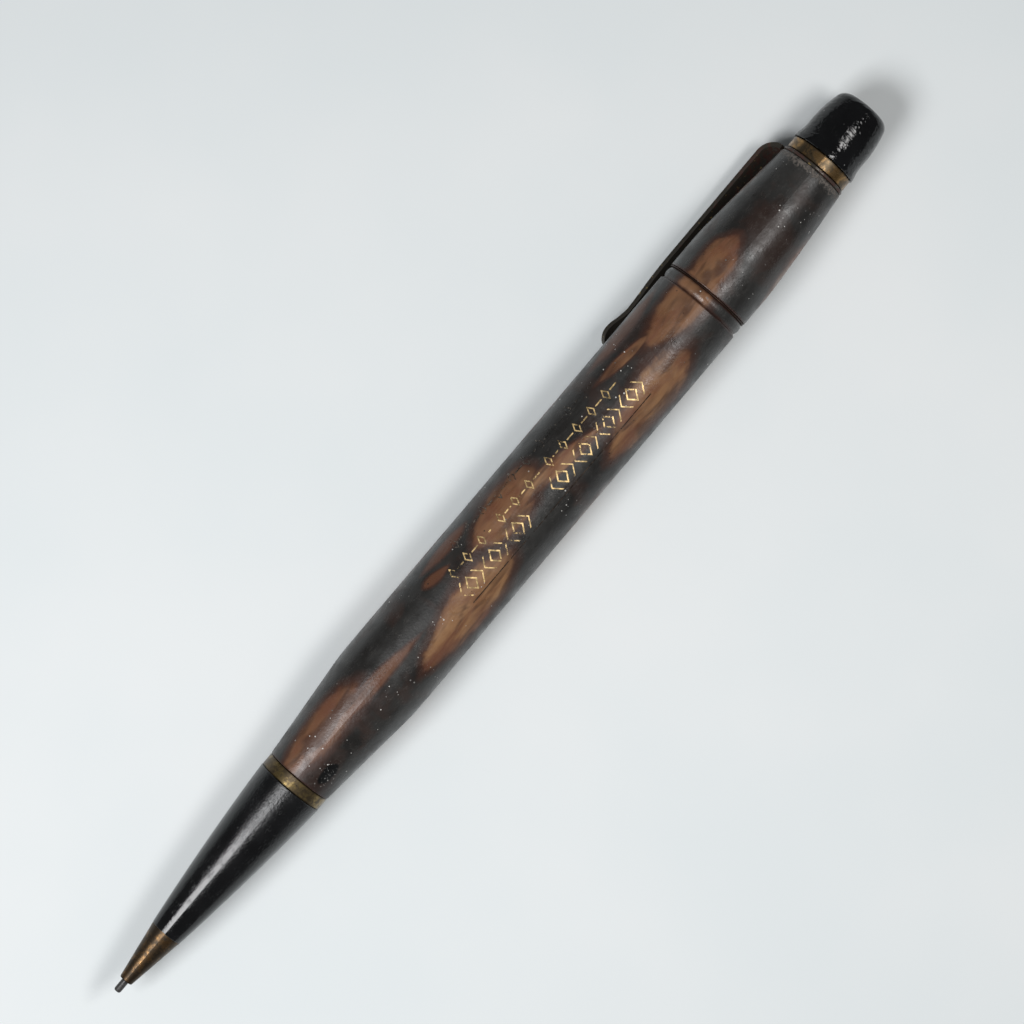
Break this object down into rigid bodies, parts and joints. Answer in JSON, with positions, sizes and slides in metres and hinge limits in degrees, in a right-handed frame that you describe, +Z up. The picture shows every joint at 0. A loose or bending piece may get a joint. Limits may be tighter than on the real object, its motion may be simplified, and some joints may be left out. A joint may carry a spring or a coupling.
{
  "type": "mechanical pencil",
  "caption": "Twist-action mechanical pencil with a marbled barrel, tapered nose, spring pocket clip, turning cap and pull-off end cap over an eraser.",
  "frame": {"origin": "on the plane the pencil rests on, below the barrel's axis, half way between the writing point and the top of the end cap", "axes": "+X along the pencil from the writing point to the end cap, +Y to the side where the clip lies, +Z up"},
  "size_m": [0.1366, 0.0123, 0.0111],
  "materials": {
    "marbled_celluloid": "worn gloss, charcoal and amber marbling",
    "black_plastic": "gloss, lightly scratched",
    "aged_brass": "tarnished, satin",
    "bronze": "worn satin",
    "inner_brass": "turned",
    "spring_steel": "drawn",
    "tarnished_metal": "dark, corroded plating",
    "graphite": "soft sheen",
    "eraser_rubber": "matte, aged"
  },
  "bodies": {
    "barrel": {"writing_tip": "bronze", "nose_cone": "black_plastic", "front_ring": "aged_brass", "barrel_tube": "marbled_celluloid", "guide_bush": "inner_brass", "guide_tube": "inner_brass", "rear_bearing": "inner_brass"},
    "cap": {"cap_tube": "marbled_celluloid", "thrust_washer": "inner_brass", "cap_neck": "inner_brass", "snap_ring": "spring_steel", "drive_bush": "inner_brass", "spiral_tube": "inner_brass", "clip_washer": "tarnished_metal", "top_ring": "aged_brass", "clamp_bush": "inner_brass", "lead_magazine": "inner_brass", "spare_leads": "graphite", "eraser_ferrule": "inner_brass", "eraser": "eraser_rubber"},
    "clip": {"clip_strap": "tarnished_metal"},
    "end_cap": {"end_cap": "black_plastic", "end_cap_sleeve": "inner_brass"},
    "lead_carriage": {"push_rod": "spring_steel", "feed_lug": "spring_steel", "lead_clutch": "inner_brass", "lead": "graphite"}
  },
  "joints": [
    {"name": "cap_twist", "type": "hinge", "parent": "barrel", "child": "cap", "pos_m": [0, 0, 0.00557], "axis": [1, 0, 0], "range_deg": [-216, 1440]},
    {"name": "lead_feed", "type": "slide", "parent": "barrel", "child": "lead_carriage", "axis": [-1, 0, 0], "range_m": [-0.003, 0.02]},
    {"name": "clip_flex", "type": "hinge", "parent": "cap", "child": "clip", "pos_m": [0.05794, 0.00363, 0.00297], "axis": [0, -0.5821, -0.8131], "range_deg": [0, 4], "stiffness_Nm_per_rad": 0.6},
    {"name": "end_cap_pull", "type": "slide", "parent": "cap", "child": "end_cap", "axis": [1, 0, 0], "range_m": [0, 0.01]}
  ],
  "couplings": [
    {"joint": "lead_feed", "follows": "cap_twist", "m_per_rad": 0.00079577}
  ]
}
